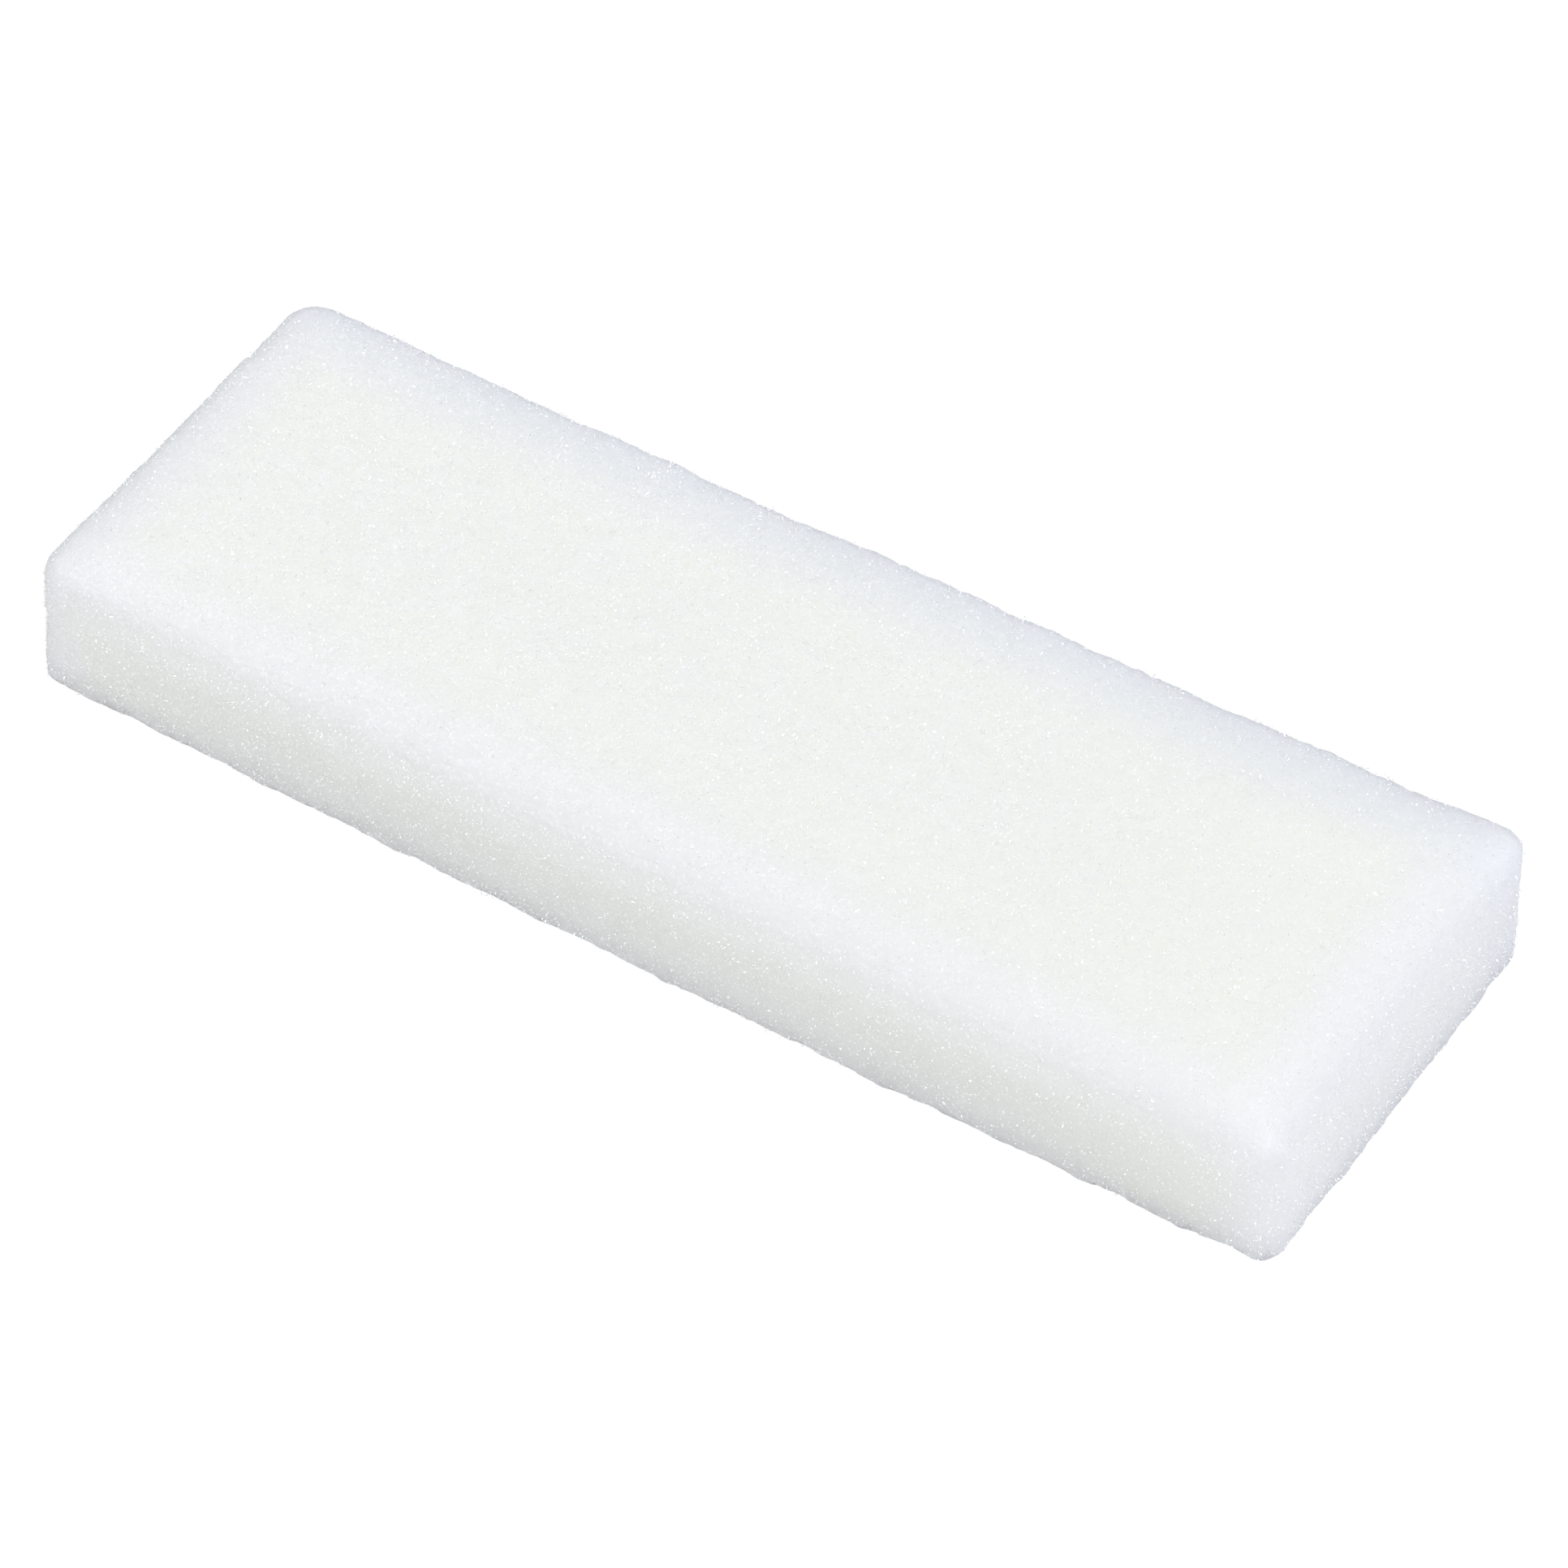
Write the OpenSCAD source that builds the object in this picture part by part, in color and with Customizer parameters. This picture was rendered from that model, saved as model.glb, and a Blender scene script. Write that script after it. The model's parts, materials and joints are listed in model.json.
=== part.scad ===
// Gelatin sponge: one flat block of dried, white, open-cell gelatin foam.
// Millimetres, +Z up. The origin is the centre of the underside, the length
// lies along X and the front long side faces -Y.
//
// The block is cut from a dried sheet, so its six faces are flat. The foam
// gives way wherever it is handled: the edges of the top are rounder than those
// of the underside, and the four upright corners are worn by different amounts.

/* [Block] */
// Length of the block, along X
sponge_length = 60; // [30:1:90]
// Width of the block, along Y
sponge_width = 20; // [12:0.5:50]
// Thickness of the block, along Z
sponge_thickness = 7; // [3:0.5:12]

/* [Edges] */
// Rounding along the edges of the top, which is handled the most
top_edge_r = 0.9; // [0.1:0.05:0.95]
// Rounding along the edges of the underside
bottom_edge_r = 0.6; // [0.1:0.05:0.95]

/* [Upright corners, seen from above] */
// Radius of the corner at the front and the right
front_right_r = 1; // [1:0.05:4]
// Radius of the corner at the back and the right
back_right_r = 1.4; // [1:0.05:4]
// Radius of the corner at the back and the left, the most worn one
back_left_r = 1.7; // [1:0.05:4]
// Radius of the corner at the front and the left
front_left_r = 1.4; // [1:0.05:4]

/* [Hidden] */
$fn = 64;

foam_white = [0.94, 0.95, 0.94];
quarter_turn = 90;
half_length = sponge_length / 2;
half_width = sponge_width / 2;

// Corner radii counter-clockwise from above. Side i runs from corner i to the
// corner after it, and side 0 is the right-hand end.
corner_r = [front_right_r, back_right_r, back_left_r, front_left_r];
side_count = len(corner_r);

// Upright section from x = 0 out to a face at x = reach, with both edges of
// that face rounded.
module rim_section(reach) {
    top_start = sponge_thickness - top_edge_r;
    intersection() {
        square([reach, sponge_thickness]);
        union() {
            square([reach - bottom_edge_r, top_start]);
            square([reach - top_edge_r, sponge_thickness]);
            translate([0, bottom_edge_r])
                square([reach, top_start - bottom_edge_r]);
            translate([reach - bottom_edge_r, bottom_edge_r])
                circle(r = bottom_edge_r);
            translate([reach - top_edge_r, top_start])
                circle(r = top_edge_r);
        }
    }
}

// One side of the block as seen with its face towards +X. It reaches in to
// the middle of the block and ends where the two corners' roundings start.
module side(reach, half_span, r_start, r_end) {
    translate([0, half_span - r_end, 0])
        rotate([90, 0, 0])
            linear_extrude(height = 2 * half_span - r_start - r_end)
                rim_section(reach);
}

// The rounded upright corner at the side's far end.
module corner(reach, half_span, r) {
    translate([reach - r, half_span - r, 0])
        rotate_extrude(angle = quarter_turn)
            rim_section(r);
}

module sponge() {
    color(foam_white)
        union() {
            for (i = [0:side_count - 1]) {
                is_end = i % 2 == 0;
                reach = is_end ? half_length : half_width;
                half_span = is_end ? half_width : half_length;
                r_start = corner_r[i];
                r_end = corner_r[(i + 1) % side_count];
                rotate([0, 0, i * quarter_turn]) {
                    side(reach, half_span, r_start, r_end);
                    corner(reach, half_span, r_end);
                }
            }
        }
}

sponge();
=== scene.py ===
# %% [markdown]
# # A block of gelatin sponge
# A gelatin sponge is a light, stiff block of dried gelatin foam that soaks up many times its own
# weight. It is cut from a dried sheet, so its faces are flat, its edges are soft, and every
# surface is a slice through thousands of tiny open cells. The CAD model holds the block's true
# size. This lesson loads it, grows a foam surface on it, and lights it on a white table.

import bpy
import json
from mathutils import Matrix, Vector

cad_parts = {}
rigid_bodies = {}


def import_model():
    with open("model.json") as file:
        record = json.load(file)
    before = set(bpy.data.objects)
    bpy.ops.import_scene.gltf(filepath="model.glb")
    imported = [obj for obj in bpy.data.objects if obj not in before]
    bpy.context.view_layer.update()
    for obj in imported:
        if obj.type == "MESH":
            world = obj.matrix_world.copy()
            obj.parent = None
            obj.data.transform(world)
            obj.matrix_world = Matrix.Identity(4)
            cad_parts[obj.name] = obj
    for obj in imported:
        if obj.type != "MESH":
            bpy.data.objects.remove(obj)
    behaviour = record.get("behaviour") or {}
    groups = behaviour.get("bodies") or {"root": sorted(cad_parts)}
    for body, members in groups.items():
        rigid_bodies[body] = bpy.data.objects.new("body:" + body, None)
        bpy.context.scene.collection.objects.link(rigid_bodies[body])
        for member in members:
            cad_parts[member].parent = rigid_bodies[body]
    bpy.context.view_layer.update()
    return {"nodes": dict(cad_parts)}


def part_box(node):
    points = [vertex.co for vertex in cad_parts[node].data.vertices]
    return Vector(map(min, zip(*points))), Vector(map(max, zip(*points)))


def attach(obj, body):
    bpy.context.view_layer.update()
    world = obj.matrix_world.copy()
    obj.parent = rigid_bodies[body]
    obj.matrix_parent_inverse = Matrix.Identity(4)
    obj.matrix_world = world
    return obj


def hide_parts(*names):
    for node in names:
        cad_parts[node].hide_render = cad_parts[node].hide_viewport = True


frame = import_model()
print("nodes in the frame:", sorted(frame["nodes"]))

# %% Libraries, units and the block's size
import json
import math

import bpy
from mathutils import Matrix, Vector

MM = 0.001

low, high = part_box("sponge")
block_size = high - low
half_length = block_size.x / 2
half_width = block_size.y / 2
thickness = block_size.z
print("block, mm:", [round(side / MM, 2) for side in block_size])

# %% [markdown]
# ## Node trees as sums
# Both the foam's shape and its colour are rules about a place on the block: how far the nearest
# edge is, and which cell of the foam the place cuts through. Such rules could be wired by hand in
# the node editor, or added node by node, but they would be hard to read. Here a socket is wrapped
# in a small class, so that a rule is written as a sum and each sign adds its Math node. The same
# class serves Geometry Nodes and shaders, because both use the same Math nodes.

# %% A socket that can be used in sums
def find_socket(sockets, key):
    """A socket by its number, its identifier or its name."""
    if isinstance(key, int):
        return sockets[key]
    for socket in sockets:
        if socket.identifier == key:
            return socket
    return sockets[key]


class Wire:
    """An output socket of a node tree, for use in expressions."""

    def __init__(self, tree, socket):
        self.tree = tree
        self.socket = socket

    def out(self, name):
        """Another output of the same node."""
        return Wire(self.tree, find_socket(self.socket.node.outputs, name))

    def math(self, operation, first, second=0.0):
        return self.tree.node("ShaderNodeMath", {"operation": operation}, {0: first, 1: second})

    def __add__(self, other):
        return self.math("ADD", self, other)

    def __radd__(self, other):
        return self.math("ADD", other, self)

    def __sub__(self, other):
        return self.math("SUBTRACT", self, other)

    def __rsub__(self, other):
        return self.math("SUBTRACT", other, self)

    def __mul__(self, other):
        return self.math("MULTIPLY", self, other)

    def __rmul__(self, other):
        return self.math("MULTIPLY", other, self)

    def __truediv__(self, other):
        return self.math("DIVIDE", self, other)

    def __rtruediv__(self, other):
        return self.math("DIVIDE", other, self)

    def __abs__(self):
        return self.math("ABSOLUTE", self)

    def at_least(self, other):
        return self.math("MAXIMUM", self, other)

    def at_most(self, other):
        return self.math("MINIMUM", self, other)

    def above(self, other):
        """1 where this is greater than the other, and 0 elsewhere."""
        return self.math("GREATER_THAN", self, other)

    def fade(self, start, end):
        """0 at start, 1 at end, with a smooth step between."""
        ranges = {"Value": self, "From Min": start, "From Max": end}
        return self.tree.node("ShaderNodeMapRange", {"interpolation_type": "SMOOTHSTEP"}, ranges)


# %% A tree whose nodes all come from one method
NOISE_MIDDLE = 0.5


class Tree:
    """A node tree under construction."""

    def __init__(self, nodes_and_links):
        self.nodes = nodes_and_links.nodes
        self.links = nodes_and_links.links

    def node(self, kind, settings=None, values=None, output=0):
        """Add a node: settings first, then the values or links of its inputs. Gives an output."""
        made = self.nodes.new(kind)
        for name, setting in (settings or {}).items():
            setattr(made, name, setting)
        for key, value in (values or {}).items():
            socket = find_socket(made.inputs, key)
            if isinstance(value, Wire):
                self.links.new(value.socket, socket)
            else:
                socket.default_value = value
        return None if output is None else Wire(self, find_socket(made.outputs, output))

    def vector(self, operation, first, second=(0.0, 0.0, 0.0), scale=1.0):
        values = {0: first, 1: second, "Scale": scale}
        return self.node("ShaderNodeVectorMath", {"operation": operation}, values)

    def join(self, x, y, z):
        """Three numbers as one vector."""
        return self.node("ShaderNodeCombineXYZ", None, {0: x, 1: y, 2: z})

    def parts(self, vector):
        """The three numbers of a vector."""
        split = self.node("ShaderNodeSeparateXYZ", None, {0: vector})
        return split, split.out("Y"), split.out("Z")

    def noise(self, place, wavelength, detail=2.0, output="Fac"):
        """Cloudy noise between 0 and 1."""
        values = {"Vector": place, "Scale": 1 / wavelength, "Detail": detail}
        return self.node("ShaderNodeTexNoise", None, values, output)

    def ripple(self, place, wavelength, detail=2.0):
        """The same noise about 0, so that it adds as much as it takes away."""
        return self.noise(place, wavelength, detail) - NOISE_MIDDLE

    def cells(self, place, cell_size):
        """The way to the nearest cell's middle, where 1 is the size of a cell."""
        values = {"Vector": place, "Scale": 1 / cell_size}
        return self.node("ShaderNodeTexVoronoi", {"feature": "F1"}, values, "Distance")

    def blend(self, mask, colour_off, colour_on):
        """The first colour where the mask is 0, and the second where it is 1."""
        values = {"Factor_Float": mask, "A_Color": colour_off, "B_Color": colour_on}
        return self.node("ShaderNodeMix", {"data_type": "RGBA"}, values, "Result_Color")


# %% [markdown]
# ## Finding the edges
# On the real block nearly everything changes towards the edges: they are worn and crumbled, and
# they are painted cooler and darker, as painted shade where light leaks out of the foam. A painted
# mask could say where they are, or an ambient occlusion node. Here the distance is worked out from
# the place itself, because the block is a plain box, and so the same few nodes serve both the shape
# and the colour.

# %% The way to the nearest edge
def edge_distance(tree, place, foot_counts=True):
    """How far a place on the surface is from the block's nearest edge, in metres.

    The distances to the three pairs of faces are sorted. The smallest is about 0, because the
    place is on a face, so the middle one is the way to the nearest edge. The edges of the
    underside can be left out.
    """
    x, y, z = tree.parts(place)
    to_end = half_length - abs(x)
    to_side = half_width - abs(y)
    to_flat = thickness - z
    if foot_counts:
        to_flat = to_flat.at_most(z)
    nearer = to_end.at_most(to_side)
    farther = to_end.at_least(to_side)
    return nearer.at_least(farther.at_most(to_flat)).at_least(0.0)


# %% [markdown]
# ## A fine skin on the block
# The foam needs a surface fine enough to hold its pores. Three ways offer themselves. A voxel
# remesh of the CAD solid is easy, but it steps on the rounded edges. A subdivision surface
# follows them, but its faces are as uneven as the solid's. Here a box of even squares is laid
# over the solid, and Geometry Nodes move each of its points to the nearest point of the solid.
# The faces stay square and even, and the rounded edges are the solid's own.

# %% Start a Geometry Nodes tree with named inputs
SOCKET_KINDS = {
    float: "NodeSocketFloat",
    int: "NodeSocketInt",
    bpy.types.Object: "NodeSocketObject",
    bpy.types.Material: "NodeSocketMaterial",
}


def new_geometry_tree(name, choices):
    """A tree with one named input for each choice, and a geometry output."""
    group = bpy.data.node_groups.new(name, "GeometryNodeTree")
    for label, choice in choices.items():
        kind = SOCKET_KINDS[type(choice)]
        group.interface.new_socket(label, in_out="INPUT", socket_type=kind)
    group.interface.new_socket("Geometry", in_out="OUTPUT", socket_type="NodeSocketGeometry")
    tree = Tree(group)
    return group, tree, tree.node("NodeGroupInput")


def finish_tree(tree, geometry, material, smooth=True):
    """End a tree as the export needs it: real faces that carry their material."""
    real = tree.node("GeometryNodeRealizeInstances", None, {"Geometry": geometry})
    shaded = {"Geometry": real, "Shade Smooth": smooth}
    shaded = tree.node("GeometryNodeSetShadeSmooth", None, shaded)
    painted = tree.node("GeometryNodeSetMaterial", None, {"Geometry": shaded, "Material": material})
    tree.node("NodeGroupOutput", None, {"Geometry": painted}, None)


def grown_mesh(name, group, choices):
    """Run a tree on an empty object, and keep its result as a plain mesh."""
    piece = bpy.data.objects.new(name, bpy.data.meshes.new(name + "_seed"))
    bpy.context.scene.collection.objects.link(piece)
    modifier = piece.modifiers.new(name, "NODES")
    modifier.node_group = group
    for item in group.interface.items_tree:
        if item.in_out == "INPUT":
            modifier[item.identifier] = choices[item.name]
    evaluated = piece.evaluated_get(bpy.context.evaluated_depsgraph_get())
    mesh = bpy.data.meshes.new_from_object(evaluated)
    piece.modifiers.remove(modifier)
    piece.data = mesh
    mesh.calc_loop_triangles()
    print(name, "has", len(mesh.loop_triangles), "triangles")
    return piece


# %% Lay a box of even squares on the solid
def laid_skin(tree, given):
    """A closed box of squares whose points all lie on the CAD solid."""
    values = {"Size": tuple(block_size)}
    for axis, side in zip("XYZ", block_size):
        values["Vertices " + axis] = side / given.out("Square")
    box = tree.node("GeometryNodeMeshCube", None, values)
    place = tree.node("GeometryNodeInputPosition")
    raised = tree.vector("ADD", place, (0, 0, thickness / 2))
    solid = tree.node("GeometryNodeObjectInfo", None, {0: given.out("Solid")}, "Geometry")
    values = {"Target": solid, "Source Position": raised}
    nearest = tree.node("GeometryNodeProximity", {"target_element": "FACES"}, values)
    return tree.node("GeometryNodeSetPosition", None, {"Geometry": box, "Position": nearest})


# %% [markdown]
# ## Pores and rolling faces
# The knife opened the foam's cells, so each face is a field of small bowls with thin walls
# between them. Modelling every cell would take millions of faces, so the shape is split by size.
# Here the mesh takes what is large enough for it: the slow roll of a face that dried unevenly,
# bowls about half a millimetre wide, and crumbled edges. The finer cells follow in the material.
# Bowls come from a cell texture cut through by the surface, because that is how the real ones
# were made: round and open where the knife met a cell's middle, and small where it grazed one.
#
# Two slower changes go with them. Dried foam stands a little fuller in the middle of each face,
# and fingers have pressed the front and right edges of the top round. The other edges crumbled.

# %% Move the skin along its normals
ROLL_WAVELENGTH = 9 * MM
CRUMB_WAVELENGTH = 2.2 * MM
GRAIN_WAVELENGTH = 0.35 * MM
# Where a bowl ends, in cell sizes from the cell's middle.
BOWL_RIM = 0.62
# How far in from the edges the swelling, the crumbs and the finger wear reach.
SWELL_REACH = 2.4 * MM
CRUMB_REACH = 1.4 * MM
WEAR_REACH = 2.8 * MM
# The finger wear starts at this height, and is at its full depth this far from the left-hand end.
WEAR_FOOT = 2 * MM
WEAR_START = 8 * MM


def handled(tree, place):
    """1 along the top's front and right edges, which the fingers press round, and 0 elsewhere."""
    x, y, z = tree.parts(place)
    upper = z.fade(WEAR_FOOT, high.z)
    not_left = x.fade(low.x, low.x + WEAR_START)
    return upper * not_left * (1 - y.fade(0, half_width))


def foam_height(tree, given, place):
    """How far the foam stands out from the solid, in metres."""
    to_edge = edge_distance(tree, place)
    pressed = handled(tree, place)
    near_edge = (1 - to_edge.fade(0, CRUMB_REACH)) * (1 - pressed)
    worn_round = (1 - to_edge.fade(0, WEAR_REACH)) * pressed * given.out("Wear")
    swelling = to_edge.fade(0, SWELL_REACH) * given.out("Swelling")
    roll = tree.ripple(place, ROLL_WAVELENGTH, detail=1) * given.out("Roll")
    crumbs = tree.ripple(place, CRUMB_WAVELENGTH, detail=3) * given.out("Crumb") * near_edge
    grain = tree.ripple(place, GRAIN_WAVELENGTH) * given.out("Grain")
    to_middle = tree.cells(place, given.out("Bowl width"))
    bowl = (1 - to_middle.fade(0, BOWL_RIM)) * given.out("Bowl depth")
    return swelling + roll + crumbs + grain - bowl - worn_round


def foamed(tree, given, skin):
    """The skin with its points moved out to the foam's surface."""
    place = tree.node("GeometryNodeInputPosition")
    normal = tree.node("GeometryNodeInputNormal")
    offset = tree.vector("SCALE", normal, scale=foam_height(tree, given, place))
    return tree.node("GeometryNodeSetPosition", None, {"Geometry": skin, "Offset": offset})


# %% [markdown]
# ## Handling wear
# The block has been picked up and dried a little unevenly. Its long sides are slightly bowed, the
# right-hand end is a little wider than the left, and the left-hand end leans back at the top.
# These are bends of the whole foam and not cuts, so they move the finished skin about and leave
# its pores alone. The underside rests on the table: what would reach below it is pressed flat.

# %% Bow, widen and lean
LEAN_REACH = 5 * MM
# The height that the lean leaves in its place, as a share of the thickness.
LEAN_PIVOT = 0.5
# How far above the table the lowest foam stops.
UNDERSIDE_GAP = 0.03 * MM
# The average square of the numbers from -1 to 1. Taken off, it keeps a bow from moving the block.
MEAN_SQUARE = 1 / 3


def worn(tree, given, skin):
    """The skin, bent as the real block is."""
    place = tree.node("GeometryNodeInputPosition")
    x, y, z = tree.parts(place)
    along = x / half_length
    bow = (along * along - MEAN_SQUARE) * given.out("Bow")
    at_left = (0 - x).fade(half_length - LEAN_REACH, half_length)
    moved_x = x + at_left * (z / thickness - LEAN_PIVOT) * given.out("Lean")
    moved_y = y * (1 + along * given.out("Taper")) + bow
    moved_z = z.at_least(low.z + UNDERSIDE_GAP)
    moved = tree.join(moved_x, moved_y, moved_z)
    return tree.node("GeometryNodeSetPosition", None, {"Geometry": skin, "Position": moved})


# %% [markdown]
# ## The finish of the foam
# Dried gelatin is clear, slightly yellow glass, blown so thin that it looks white. Light wanders
# deep into the block and comes out cream, but near an edge it leaves early and stays cool. The
# shader's subsurface scattering does this wandering, and the base colour paints in the same change
# from cream to cool white, so that it is there without scattering too. The base colour also holds
# painted shade: darker rims, ends, back, brink and foot, and dark pores and pits. It holds painted
# light too: a lighter sole, and lighter wisps as a painted glint. Broken cell walls glint.

# %% Colours of the foam
# The heart of each face: soft patches of two creams.
CREAM_WHITE = (0.917, 0.913, 0.82, 1)
MINT_WHITE = (0.913, 0.915, 0.836, 1)
PATCH_WAVELENGTH = 2 * MM
PATCH_RANGE = (0.35, 0.65)
# The rims are painted shade: cooler and darker where light leaks out near the edges. They reach
# farther in on the top than on the sides.
SIDE_RIM_PAINTED_SHADE = (0.897, 0.893, 0.856, 1)
TOP_RIM_PAINTED_SHADE = (0.848, 0.85, 0.815, 1)
TOP_RIM_DEPTH = 3 * MM
TOP_COOL_REACH = 6 * MM
SIDE_COOL_REACH = 4.5 * MM
# The two ends, where all of the foam is close to an edge, take the rims' painted shade and a
# painted cool tint.
END_REACH = 2 * MM
END_COOLNESS = 0.8
END_TINT = (1.003, 1.003, 1.012, 1)
TINT_REACH = 5 * MM
# The foot of the long sides is painted darker towards the bottom, as painted shade. The sole, the
# lowest strip, is painted lighter, as painted light from the table.
FOOT_PAINTED_SHADE = (0.836, 0.838, 0.79, 1)
FOOT_REACH = 7.5 * MM
FOOT_END_REACH = 12 * MM
SOLE_PAINTED_LIGHT = (0.985, 0.985, 0.955, 1)
SOLE_REACH = 1.3 * MM
# The back of the top is painted cooler and darker, as painted shade, and so is the brink: the last
# bit before every other edge.
BACK_PAINTED_SHADE = (0.96, 0.97, 1.0, 1)
BACK_REACH = 5 * MM
BACK_EDGE = 1 * MM
BRINK_REACH = 1.8 * MM
TOP_BRINK_SHADE_SHARE = 0.07
SIDE_BRINK_SHADE_SHARE = 0.025
PLAIN = (1.0, 1.0, 1.0, 1)


def body_colour(tree, place):
    """The foam's white with painted shade and light: cream deep in, painted cooler and darker at
    the rims, ends, back and foot, and painted lighter at the sole.
    """
    x, y, z = tree.parts(place)
    edge = edge_distance(tree, place, foot_counts=False)
    on_top = z.fade(high.z - TOP_RIM_DEPTH, high.z)
    # The rims' colour is painted shade: cooler and darker where light leaks out near the edges.
    rim = tree.blend(on_top, SIDE_RIM_PAINTED_SHADE, TOP_RIM_PAINTED_SHADE)
    cool_reach = SIDE_COOL_REACH + on_top * (TOP_COOL_REACH - SIDE_COOL_REACH)
    to_end = half_length - abs(x)
    # The ends take the rims' painted shade.
    on_end = (1 - to_end.fade(0, END_REACH)) * END_COOLNESS
    patch = tree.noise(place, PATCH_WAVELENGTH, detail=3).fade(*PATCH_RANGE)
    heart = tree.blend(patch, CREAM_WHITE, MINT_WHITE)
    body = tree.blend((1 - edge.fade(0, cool_reach)).at_least(on_end), heart, rim)
    # Painted shade: darker towards the bottom of the long sides, less so near the ends.
    foot = (1 - z.fade(SOLE_REACH, FOOT_REACH)) * to_end.fade(0, FOOT_END_REACH)
    body = tree.blend(foot, body, FOOT_PAINTED_SHADE)
    # Painted light: the lowest strip is lighter, as if lit by the table.
    body = tree.blend(1 - z.fade(0, SOLE_REACH), body, SOLE_PAINTED_LIGHT)
    # Painted shade: the back of the top is cooler and darker.
    at_back = y.fade(half_width - BACK_REACH, half_width - BACK_EDGE)
    body = tree.vector("MULTIPLY", body, tree.blend(at_back, PLAIN, BACK_PAINTED_SHADE))
    # A painted cool tint near both ends, like that of the rims.
    tint = tree.blend(1 - to_end.fade(0, TINT_REACH), PLAIN, END_TINT)
    body = tree.vector("MULTIPLY", body, tint)
    # Painted shade along the brink of every edge but the back's.
    brink = (1 - edge.fade(0, BRINK_REACH)) * (1 - at_back)
    share = SIDE_BRINK_SHADE_SHARE + on_top * (TOP_BRINK_SHADE_SHARE - SIDE_BRINK_SHADE_SHARE)
    return tree.vector("SCALE", body, scale=1 - brink * share)


# %% Patterns of the foam
SWIRL_WAVELENGTH = 0.25 * MM
SWIRL = 0.25 * MM
PORE_WIDTH = 0.16 * MM
PORE_RANGE = (0.05, 0.55)
CLUSTER_WAVELENGTH = 0.7 * MM
CLUSTER_RANGE = (0.35, 0.75)
CLUSTER_PORES = 0.3
# More pores are painted dark at the foot, as painted shade there, and they sink the bump too.
FOOT_PORE_SHADE_AND_RELIEF = 1.3
FOOT_PORE_REACH = 2 * MM
PIT_SPACING = 2.8 * MM
PIT_RANGE = (0.01, 0.06)
WISP_WAVELENGTH = 0.17 * MM
WISP_RANGE = (0.02, 0.09)
BREAK_RANGE = (0.50, 0.62)
BREAK_SHIFT = (5 * MM, 0, 0)


def swirled(tree, place):
    """The place, shifted about by a noise, so that cells lose their even look."""
    shift = tree.noise(place, SWIRL_WAVELENGTH, output="Color")
    return tree.vector("ADD", place, tree.vector("SCALE", shift, scale=SWIRL))


def pore_mask(tree, place):
    """1 in the open cells that are painted dark, as painted shade in their hollows, and sunk in the
    bump. They come in clusters, and more at the foot, where the painted shade is deeper.
    """
    foot = 1 - tree.parts(place)[2].fade(0, FOOT_PORE_REACH)
    bowl = 1 - tree.cells(place, PORE_WIDTH).fade(*PORE_RANGE)
    cluster = tree.noise(place, CLUSTER_WAVELENGTH).fade(*CLUSTER_RANGE)
    return bowl * (cluster * CLUSTER_PORES + foot * FOOT_PORE_SHADE_AND_RELIEF)


def pit_mask(tree, place):
    """1 in the odd cell that the knife opened to its full depth. Only the colour shows it, as
    painted shade in the hole.
    """
    return 1 - tree.cells(place, PIT_SPACING).fade(*PIT_RANGE)


def wisp_mask(tree, place):
    """1 on the thin wisps of torn wall: level lines of a noise, broken up by another."""
    ridge = abs(tree.ripple(place, WISP_WAVELENGTH, detail=1))
    elsewhere = tree.vector("ADD", place, BREAK_SHIFT)
    broken = tree.noise(elsewhere, WISP_WAVELENGTH, detail=1).fade(*BREAK_RANGE)
    return (1 - ridge.fade(*WISP_RANGE)) * broken


# %% The material of the foam
# How much each pattern lightens or darkens the foam. The mottle is the foam's own tone, the wisps'
# lightening is a painted glint, and the pores' and pits' darkening is painted shade.
MOTTLE_WAVELENGTH = 1.2 * MM
MOTTLE_SHARE = 0.07
WISP_GLINT_SHARE = 0.10
PORE_SHADE_SHARE = 0.09
PIT_SHADE_SHARE = 0.10
# The patterns grow calmer from here to the right-hand end.
SMOOTH_START = -15 * MM
SMOOTH_SHARE = 0.5
SCATTER_REACH = 4.0 * MM
SCATTER_COLOURS = (1.0, 1.0, 1.0)
FOAM_ROUGHNESS = 0.9
WISP_SHINE = 0.6
FOAM_GLOSS = 0.4
RELIEF_SHARE = 0.5
RELIEF_STRENGTH = 0.3
RELIEF_DEPTH = 0.05 * MM


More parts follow.
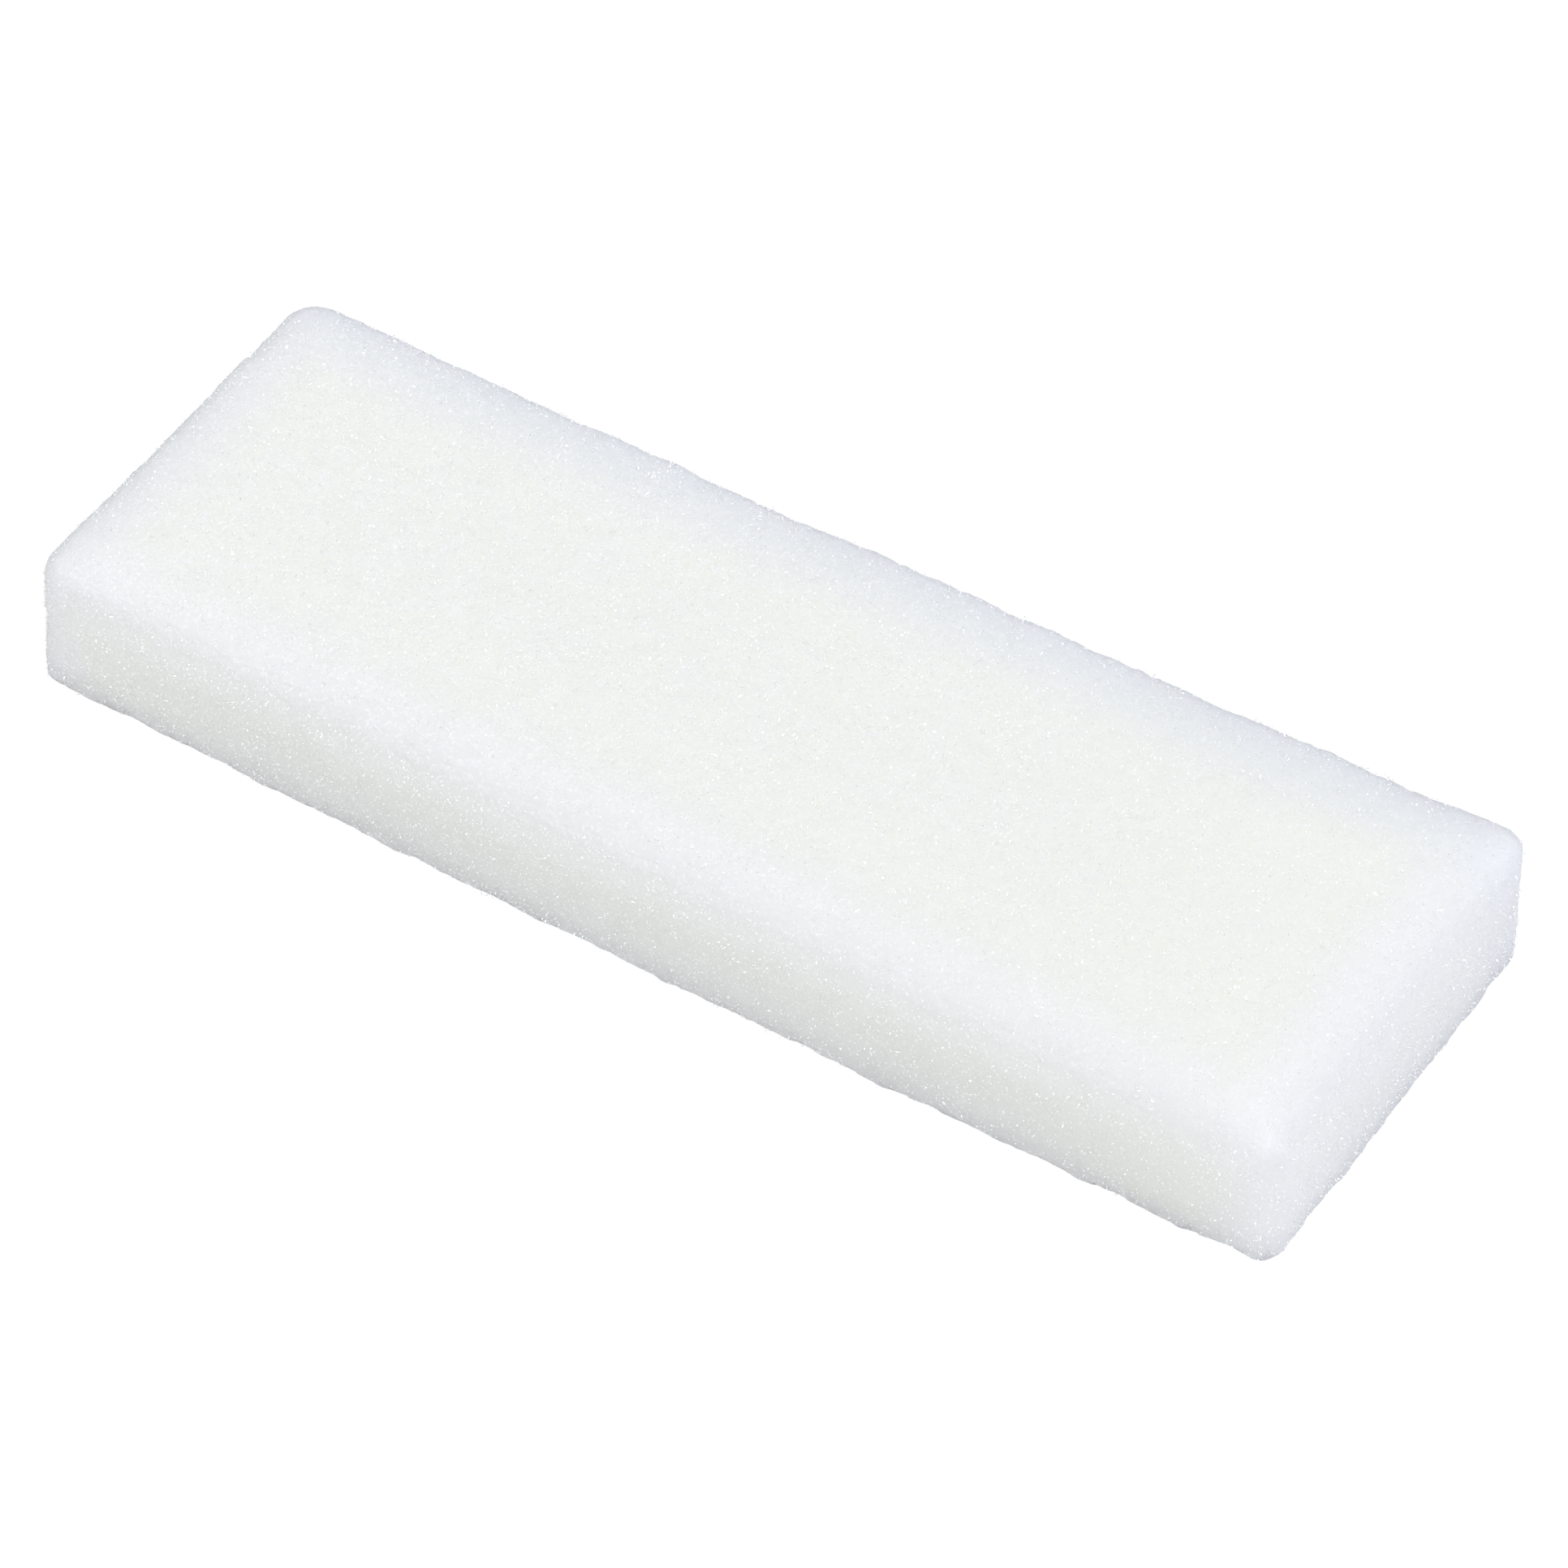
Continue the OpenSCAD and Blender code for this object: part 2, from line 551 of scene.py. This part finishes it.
def foam_material():
    material = bpy.data.materials.new("gelatin_foam")
    material.use_nodes = True
    tree = Tree(material.node_tree)
    tree.nodes.clear()
    place = tree.node("ShaderNodeTexCoord", output="Object")
    loose = swirled(tree, place)
    pore = pore_mask(tree, loose)
    pit = pit_mask(tree, loose)
    wisp = wisp_mask(tree, place)
    mottle = tree.ripple(place, MOTTLE_WAVELENGTH, detail=6)
    # Painted shade in the pores and pits, and a painted glint on the wisps.
    dark = pore * PORE_SHADE_SHARE + pit * PIT_SHADE_SHARE
    pattern = mottle * MOTTLE_SHARE + wisp * WISP_GLINT_SHARE - dark
    to_right = tree.parts(place)[0].fade(SMOOTH_START, half_length)
    shade = 1 + pattern * (1 - to_right * SMOOTH_SHARE)
    colour = tree.vector("SCALE", body_colour(tree, place), scale=shade)
    height = wisp * RELIEF_SHARE - pore * RELIEF_SHARE
    values = {"Strength": RELIEF_STRENGTH, "Distance": RELIEF_DEPTH, "Height": height}
    bump = tree.node("ShaderNodeBump", None, values)
    values = {
        "Base Color": colour,
        "Roughness": FOAM_ROUGHNESS - wisp * WISP_SHINE,
        "Specular IOR Level": FOAM_GLOSS,
        "Subsurface Weight": 1.0,
        "Subsurface Radius": SCATTER_COLOURS,
        "Subsurface Scale": SCATTER_REACH,
        "Normal": bump,
    }
    surface = tree.node("ShaderNodeBsdfPrincipled", None, values)
    tree.node("ShaderNodeOutputMaterial", None, {"Surface": surface}, None)
    return material


foam = foam_material()
print("the foam's material has", len(foam.node_tree.nodes), "nodes")

# %% [markdown]
# ## Growing the block
# The steps above are joined in one tree: lay the skin, raise the foam, bend the block. Running
# it as a live modifier would work too, but other programs can't read one. So the tree runs once
# and its result is kept as a plain mesh, with each size of the foam as a named input.

# %% Grow the block
BLOCK_CHOICES = {
    "Solid": frame["nodes"]["sponge"],
    "Square": 0.19 * MM,
    "Swelling": 0.15 * MM,
    "Wear": 0.3 * MM,
    "Roll": 0.16 * MM,
    "Crumb": 0.5 * MM,
    "Grain": 0.09 * MM,
    "Bowl width": 0.55 * MM,
    "Bowl depth": 0.08 * MM,
    "Bow": 0.27 * MM,
    "Taper": 0.015,
    "Lean": 0.45 * MM,
    "Material": foam,
}


def foam_block():
    """The whole block as one closed mesh."""
    group, tree, given = new_geometry_tree("foam_block", BLOCK_CHOICES)
    skin = laid_skin(tree, given)
    skin = foamed(tree, given, skin)
    skin = worn(tree, given, skin)
    finish_tree(tree, skin, given.out("Material"))
    return grown_mesh("sponge_foam", group, BLOCK_CHOICES)


block = foam_block()

# %% [markdown]
# ## Torn cell walls
# The knife left splinters of cell wall standing on the foam. They are what sparkles, and they
# blur the block's outline. A particle system or a hand-placed set of strokes could make them.
# Here Geometry Nodes scatter two shapes over the finished block, a bent curl and a small flake,
# each copy turned and sized at random from a fixed seed, so that they follow the pores wherever
# they are. Curls stand mostly on the top, and flakes on the top and the sides. There are fewer of
# both towards the calmer right-hand end, and none on the underside, because the block rests on it.

# %% One curl and one flake
CURL_BEND = math.radians(110)
CURL_STEPS = 3
CURL_WIDTH = 0.18
CURL_RIDGE = 0.12
# A flake's point, and the three corners that are sunk into the foam.
FLAKE_CORNERS = [(0.0, 0.0, 1.0), (0.5, 0.0, -0.1), (-0.3, 0.35, -0.1), (-0.2, -0.3, -0.1)]
FLAKE_FACES = [(0, 1, 2), (0, 2, 3), (0, 3, 1), (1, 3, 2)]


def new_part(name, points, faces):
    """A shape to copy. It isn't linked to the scene, because only its copies are wanted."""
    mesh = bpy.data.meshes.new(name)
    mesh.from_pydata(points, [], faces)
    return bpy.data.objects.new(name, mesh)


def curl():
    """A strip that stands on its tip and bends over into a C, a unit long."""
    radius = 1 / CURL_BEND
    rings = []
    for step in range(CURL_STEPS + 1):
        turn = CURL_BEND * step / CURL_STEPS
        middle = Vector((radius - radius * math.cos(turn), 0, radius * math.sin(turn)))
        outward = Vector((-math.cos(turn), 0, math.sin(turn)))
        side = Vector((0, CURL_WIDTH / 2, 0))
        if step in (0, CURL_STEPS):
            rings.append([middle])
        else:
            rings.append([middle - side, middle + side, middle + outward * CURL_RIDGE])
    points = [point for ring in rings for point in ring]
    tip = len(points) - 1
    # Point 0 is the root. The two rings between it and the tip have three points each.
    lower = (1, 2, 3)
    upper = (4, 5, 6)
    faces = []
    for here, there in ((0, 1), (1, 2), (2, 0)):
        faces.append((0, lower[there], lower[here]))
        faces.append((lower[here], lower[there], upper[there], upper[here]))
        faces.append((upper[here], upper[there], tip))
    return new_part("curl", points, faces)


def flake():
    """A sliver with three corners in the foam and one standing out of it, a unit tall."""
    return new_part("flake", FLAKE_CORNERS, FLAKE_FACES)


# %% [markdown]
# ## The finish of a torn wall
# A torn wall is a shred of clear film, far glossier than the foam it stands in. Real glass could
# be used, but light would have to find its way through thousands of tiny panes. A white solid
# with a hard clear coat gives the same small glints at once, and fine streaks break them up.

# %% The material of a torn wall
STREAK_WAVELENGTH = 0.08 * MM
WALL_GREY = (0.96, 0.97, 0.95, 1)
WALL_WHITE = (1.0, 1.0, 0.98, 1)
WALL_ROUGHNESS = 0.15
STREAK_ROUGHNESS = 0.15
COAT_ROUGHNESS = 0.06


def wall_material():
    material = bpy.data.materials.new("cell_wall")
    material.use_nodes = True
    tree = Tree(material.node_tree)
    tree.nodes.clear()
    place = tree.node("ShaderNodeTexCoord", output="Object")
    streak = tree.noise(place, STREAK_WAVELENGTH)
    values = {
        "Base Color": tree.blend(streak, WALL_GREY, WALL_WHITE),
        "Roughness": WALL_ROUGHNESS + streak * STREAK_ROUGHNESS,
        "Specular IOR Level": 1.0,
        "Coat Weight": 1.0,
        "Coat Roughness": COAT_ROUGHNESS,
    }
    surface = tree.node("ShaderNodeBsdfPrincipled", None, values)
    tree.node("ShaderNodeOutputMaterial", None, {"Surface": surface}, None)
    return material


# %% Where and how each copy stands
STEEPEST_TILT = math.radians(85)
# The shortest and the longest copy, as shares of the piece's length.
SMALLEST_SHARE = 0.4
LARGEST_SHARE = 1.5
# Faces whose normals point down by more than this belong to the underside.
FACES_DOWN = -0.5
SPARSE_SHARE = 0.3
# Each random draw has its own seed, counted on from the piece's.
TILT_SEED, TWIST_SEED, SIZE_SEED = 1, 2, 3


def random_turn(tree, given, seed_step, largest):
    """A random rotation, up to the largest angle about each axis."""
    smallest = tuple(-angle for angle in largest)
    values = {"Min": smallest, "Max": largest, "Seed": given.out("Seed") + seed_step}
    angles = tree.node("FunctionNodeRandomValue", {"data_type": "FLOAT_VECTOR"}, values)
    return tree.node("FunctionNodeEulerToRotation", None, {"Euler": angles})


def standing_places(tree, given):
    """Random points on the block, with their own share on its sides, and thinned out towards its
    right-hand end.
    """
    skin = tree.node("GeometryNodeObjectInfo", None, {0: given.out("Block")}, "Geometry")
    upness = tree.parts(tree.node("GeometryNodeInputNormal"))[2]
    flatness = abs(upness)
    place = tree.node("GeometryNodeInputPosition")
    to_right = tree.parts(place)[0].fade(SMOOTH_START, half_length)
    on_sides = given.out("Share on the sides") * (1 - flatness) + flatness
    values = {
        "Mesh": skin,
        "Selection": upness.above(FACES_DOWN),
        "Density": given.out("Parts per square metre") * on_sides * (1 - to_right * SPARSE_SHARE),
        "Seed": given.out("Seed"),
    }
    return tree.node("GeometryNodeDistributePointsOnFaces", None, values)


def random_stance(tree, given, points):
    """Upright on its face at first, then tilted, then twisted about itself."""
    stance = points.out("Rotation")
    tilt = random_turn(tree, given, TILT_SEED, (STEEPEST_TILT, 0, math.pi))
    twist = random_turn(tree, given, TWIST_SEED, (0, 0, math.pi))
    for turn in (tilt, twist):
        values = {"Rotation": stance, "Rotate By": turn}
        stance = tree.node("FunctionNodeRotateRotation", {"rotation_space": "LOCAL"}, values)
    return stance


def random_size(tree, given):
    """A random length, the same along all three axes."""
    seed = given.out("Seed") + SIZE_SEED
    values = {"Min_001": SMALLEST_SHARE, "Max_001": LARGEST_SHARE, "Seed": seed}
    share = tree.node("FunctionNodeRandomValue", {"data_type": "FLOAT"}, values, "Value_001")
    size = share * given.out("Length")
    return tree.join(size, size, size)


# %% Scatter the copies
def kept_off_table(tree, copies):
    """Real copies, with any point that would reach into the table moved up to it."""
    real = tree.node("GeometryNodeRealizeInstances", None, {"Geometry": copies})
    x, y, z = tree.parts(tree.node("GeometryNodeInputPosition"))
    raised = tree.join(x, y, z.at_least(low.z))
    return tree.node("GeometryNodeSetPosition", None, {"Geometry": real, "Position": raised})


def scattered(name, choices):
    """Stand copies of the part on the block, each tilted and sized at random."""
    group, tree, given = new_geometry_tree(name, choices)
    points = standing_places(tree, given)
    part = tree.node("GeometryNodeObjectInfo", None, {0: given.out("Part")}, "Geometry")
    values = {
        "Points": points,
        "Instance": part,
        "Rotation": random_stance(tree, given, points),
        "Scale": random_size(tree, given),
    }
    copies = tree.node("GeometryNodeInstanceOnPoints", None, values)
    finish_tree(tree, kept_off_table(tree, copies), given.out("Material"), smooth=False)
    piece = grown_mesh(name, group, choices)
    bpy.data.objects.remove(choices["Part"])
    return piece


# %% Curls and flakes on the block
torn_wall = wall_material()
CURL_CHOICES = {
    "Block": block,
    "Part": curl(),
    "Parts per square metre": 8.5e6,
    "Share on the sides": 0.25,
    "Length": 0.18 * MM,
    "Seed": 7,
    "Material": torn_wall,
}
FLAKE_CHOICES = {
    "Block": block,
    "Part": flake(),
    "Parts per square metre": 12.5e6,
    "Share on the sides": 1.6,
    "Length": 0.07 * MM,
    "Seed": 19,
    "Material": torn_wall,
}
curls = scattered("torn_walls", CURL_CHOICES)
flakes = scattered("wall_flakes", FLAKE_CHOICES)

# %% [markdown]
# ## One body
# The real block is a single piece of foam, and nothing on it moves. The curls and flakes could be
# joined to the foam's mesh, but apart they can be counted, changed or left out. All three ride on
# the same body, and the foam takes the place of the CAD solid.

# %% Tie the pieces to the frame
for piece in (block, curls, flakes):
    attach(piece, "root")
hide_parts("sponge")
print("pieces on the root body:", [piece.name for piece in (block, curls, flakes)])

# %% [markdown]
# ## The table
# The block lies on a plain white table. A grey table under strong light would look white too,
# but then the block would be burnt out. Here the camera sees the table glow evenly, with a small
# share of it left to show the block's shadow, while the light that the table throws back up at
# the block is that of plain white paper.

# %% The table's material
FLOOR_GREY = (0.96, 0.96, 0.96, 1)
SHADOW_SHARE = 0.08
SHADOW_GREY = (SHADOW_SHARE, SHADOW_SHARE, SHADOW_SHARE, 1)
# Slightly more than white, so that only the shadow falls below it.
TABLE_GLOW = 1.03


def seen_directly(tree):
    """1 for what the camera sees, also in a mirror or through glass, and 0 for stray light."""
    camera_ray = tree.node("ShaderNodeLightPath", output="Is Camera Ray")
    mirrored = camera_ray.at_least(camera_ray.out("Is Glossy Ray"))
    return mirrored.at_least(camera_ray.out("Is Transmission Ray"))


def floor_material():
    material = bpy.data.materials.new("table")
    material.use_nodes = True
    tree = Tree(material.node_tree)
    tree.nodes.clear()
    plain = tree.node("ShaderNodeBsdfDiffuse", None, {"Color": FLOOR_GREY})
    shaded = tree.node("ShaderNodeBsdfDiffuse", None, {"Color": SHADOW_GREY})
    glow = tree.node("ShaderNodeEmission", None, {"Strength": TABLE_GLOW - SHADOW_SHARE})
    white = tree.node("ShaderNodeAddShader", None, {0: shaded, 1: glow})
    choice = {0: seen_directly(tree), 1: plain, 2: white}
    surface = tree.node("ShaderNodeMixShader", None, choice)
    tree.node("ShaderNodeOutputMaterial", None, {"Surface": surface}, None)
    return material


# %% Floor
FLOOR_SIDE = 4.0


def floor():
    """A flat square of table, level with the underside of the block."""
    half = FLOOR_SIDE / 2
    corners = [(-half, -half, 0), (half, -half, 0), (half, half, 0), (-half, half, 0)]
    mesh = bpy.data.meshes.new("table")
    mesh.from_pydata(corners, [], [(0, 1, 2, 3)])
    mesh.materials.append(floor_material())
    piece = bpy.data.objects.new("table", mesh)
    bpy.context.scene.collection.objects.link(piece)
    return piece


floor()
print("table, m:", FLOOR_SIDE, "by", FLOOR_SIDE)

# %% [markdown]
# ## The light
# White foam shows its shape only through soft shading, so it needs light from the side. One big
# lamp would do, but it would leave some faces flat and others dark. Here a weak cool sky fills
# every side, and two wide lamps stand for windows: a weak warm one at the front left, and a
# stronger cool one at the right. Together they light the top to about 1, so that a colour looks
# about as it is written.

# %% World
COOL_WHITE = (0.95, 0.975, 1.07)
WARM_WHITE = (0.99, 0.99, 0.975)
SKY_LEVEL = 0.24


def white_world():
    """A weak cool sky, which looks plain white itself."""
    world = bpy.data.worlds.new("studio")
    bpy.context.scene.world = world
    world.use_nodes = True
    tree = Tree(world.node_tree)
    tree.nodes.clear()
    seen = seen_directly(tree)
    strength = SKY_LEVEL + seen * (1 - SKY_LEVEL)
    colour = tree.blend(seen, COOL_WHITE + (1,), PLAIN)
    sky = tree.node("ShaderNodeBackground", None, {"Color": colour, "Strength": strength})
    tree.node("ShaderNodeOutputWorld", None, {"Surface": sky}, None)


white_world()

# %% Lamps
LAMP_WIDTH = math.radians(30)


def way_to(azimuth, elevation):
    """The way from the block to something, with its azimuth counted in degrees from the front."""
    turn = math.radians(azimuth)
    rise = math.radians(elevation)
    across = math.cos(rise)
    return Vector((math.sin(turn) * across, -math.cos(turn) * across, math.sin(rise)))


def soft_sun(name, azimuth, elevation, level, colour):
    """A wide lamp, far away. level is how bright it makes a white surface that faces it."""
    lamp = bpy.data.lights.new(name, "SUN")
    lamp.energy = level * math.pi
    lamp.color = colour
    lamp.angle = LAMP_WIDTH
    piece = bpy.data.objects.new(name, lamp)
    piece.rotation_mode = "QUATERNION"
    piece.rotation_quaternion = way_to(azimuth, elevation).to_track_quat("Z", "Y")
    bpy.context.scene.collection.objects.link(piece)
    print(name, "stands at azimuth", azimuth, "and elevation", elevation)


soft_sun("front_window", azimuth=-25, elevation=48, level=0.34, colour=WARM_WHITE)
soft_sun("right_window", azimuth=90, elevation=60, level=0.585, colour=COOL_WHITE)

# %% [markdown]
# ## The camera
# The block is small, so it is seen from close by, but through a long lens: its far end looks
# hardly smaller than its near end. The camera could track the block, but then a change to the
# block would move the view. Here its place is set by a direction and a distance instead. It looks
# down from the front right, so that the top, the front and the right-hand end all show.

# %% Camera
VIEW_AZIMUTH = 33.4
VIEW_ELEVATION = 46.53
VIEW_ROLL = -0.7
VIEW_DISTANCE = 325.36 * MM
VIEW_CENTRE = Vector((1.47, -0.79, 3.5)) * MM
LENS = 183.28
SENSOR = 36
CLIP_RATIO = 100


def camera():
    """The camera, aimed at the block from the front right."""
    data = bpy.data.cameras.new("camera")
    data.lens = LENS
    data.sensor_width = SENSOR
    data.clip_start = VIEW_DISTANCE / CLIP_RATIO
    data.clip_end = VIEW_DISTANCE * CLIP_RATIO
    piece = bpy.data.objects.new("camera", data)
    back = way_to(VIEW_AZIMUTH, VIEW_ELEVATION)
    stand = Matrix.Translation(VIEW_CENTRE + back * VIEW_DISTANCE)
    aim = back.to_track_quat("Z", "Y").to_matrix().to_4x4()
    roll = Matrix.Rotation(math.radians(VIEW_ROLL), 4, "Z")
    piece.matrix_world = stand @ aim @ roll
    bpy.context.scene.collection.objects.link(piece)
    bpy.context.scene.camera = piece


camera()
bpy.context.scene.view_settings.view_transform = "Standard"
print("camera to block, mm:", round(VIEW_DISTANCE / MM, 2))
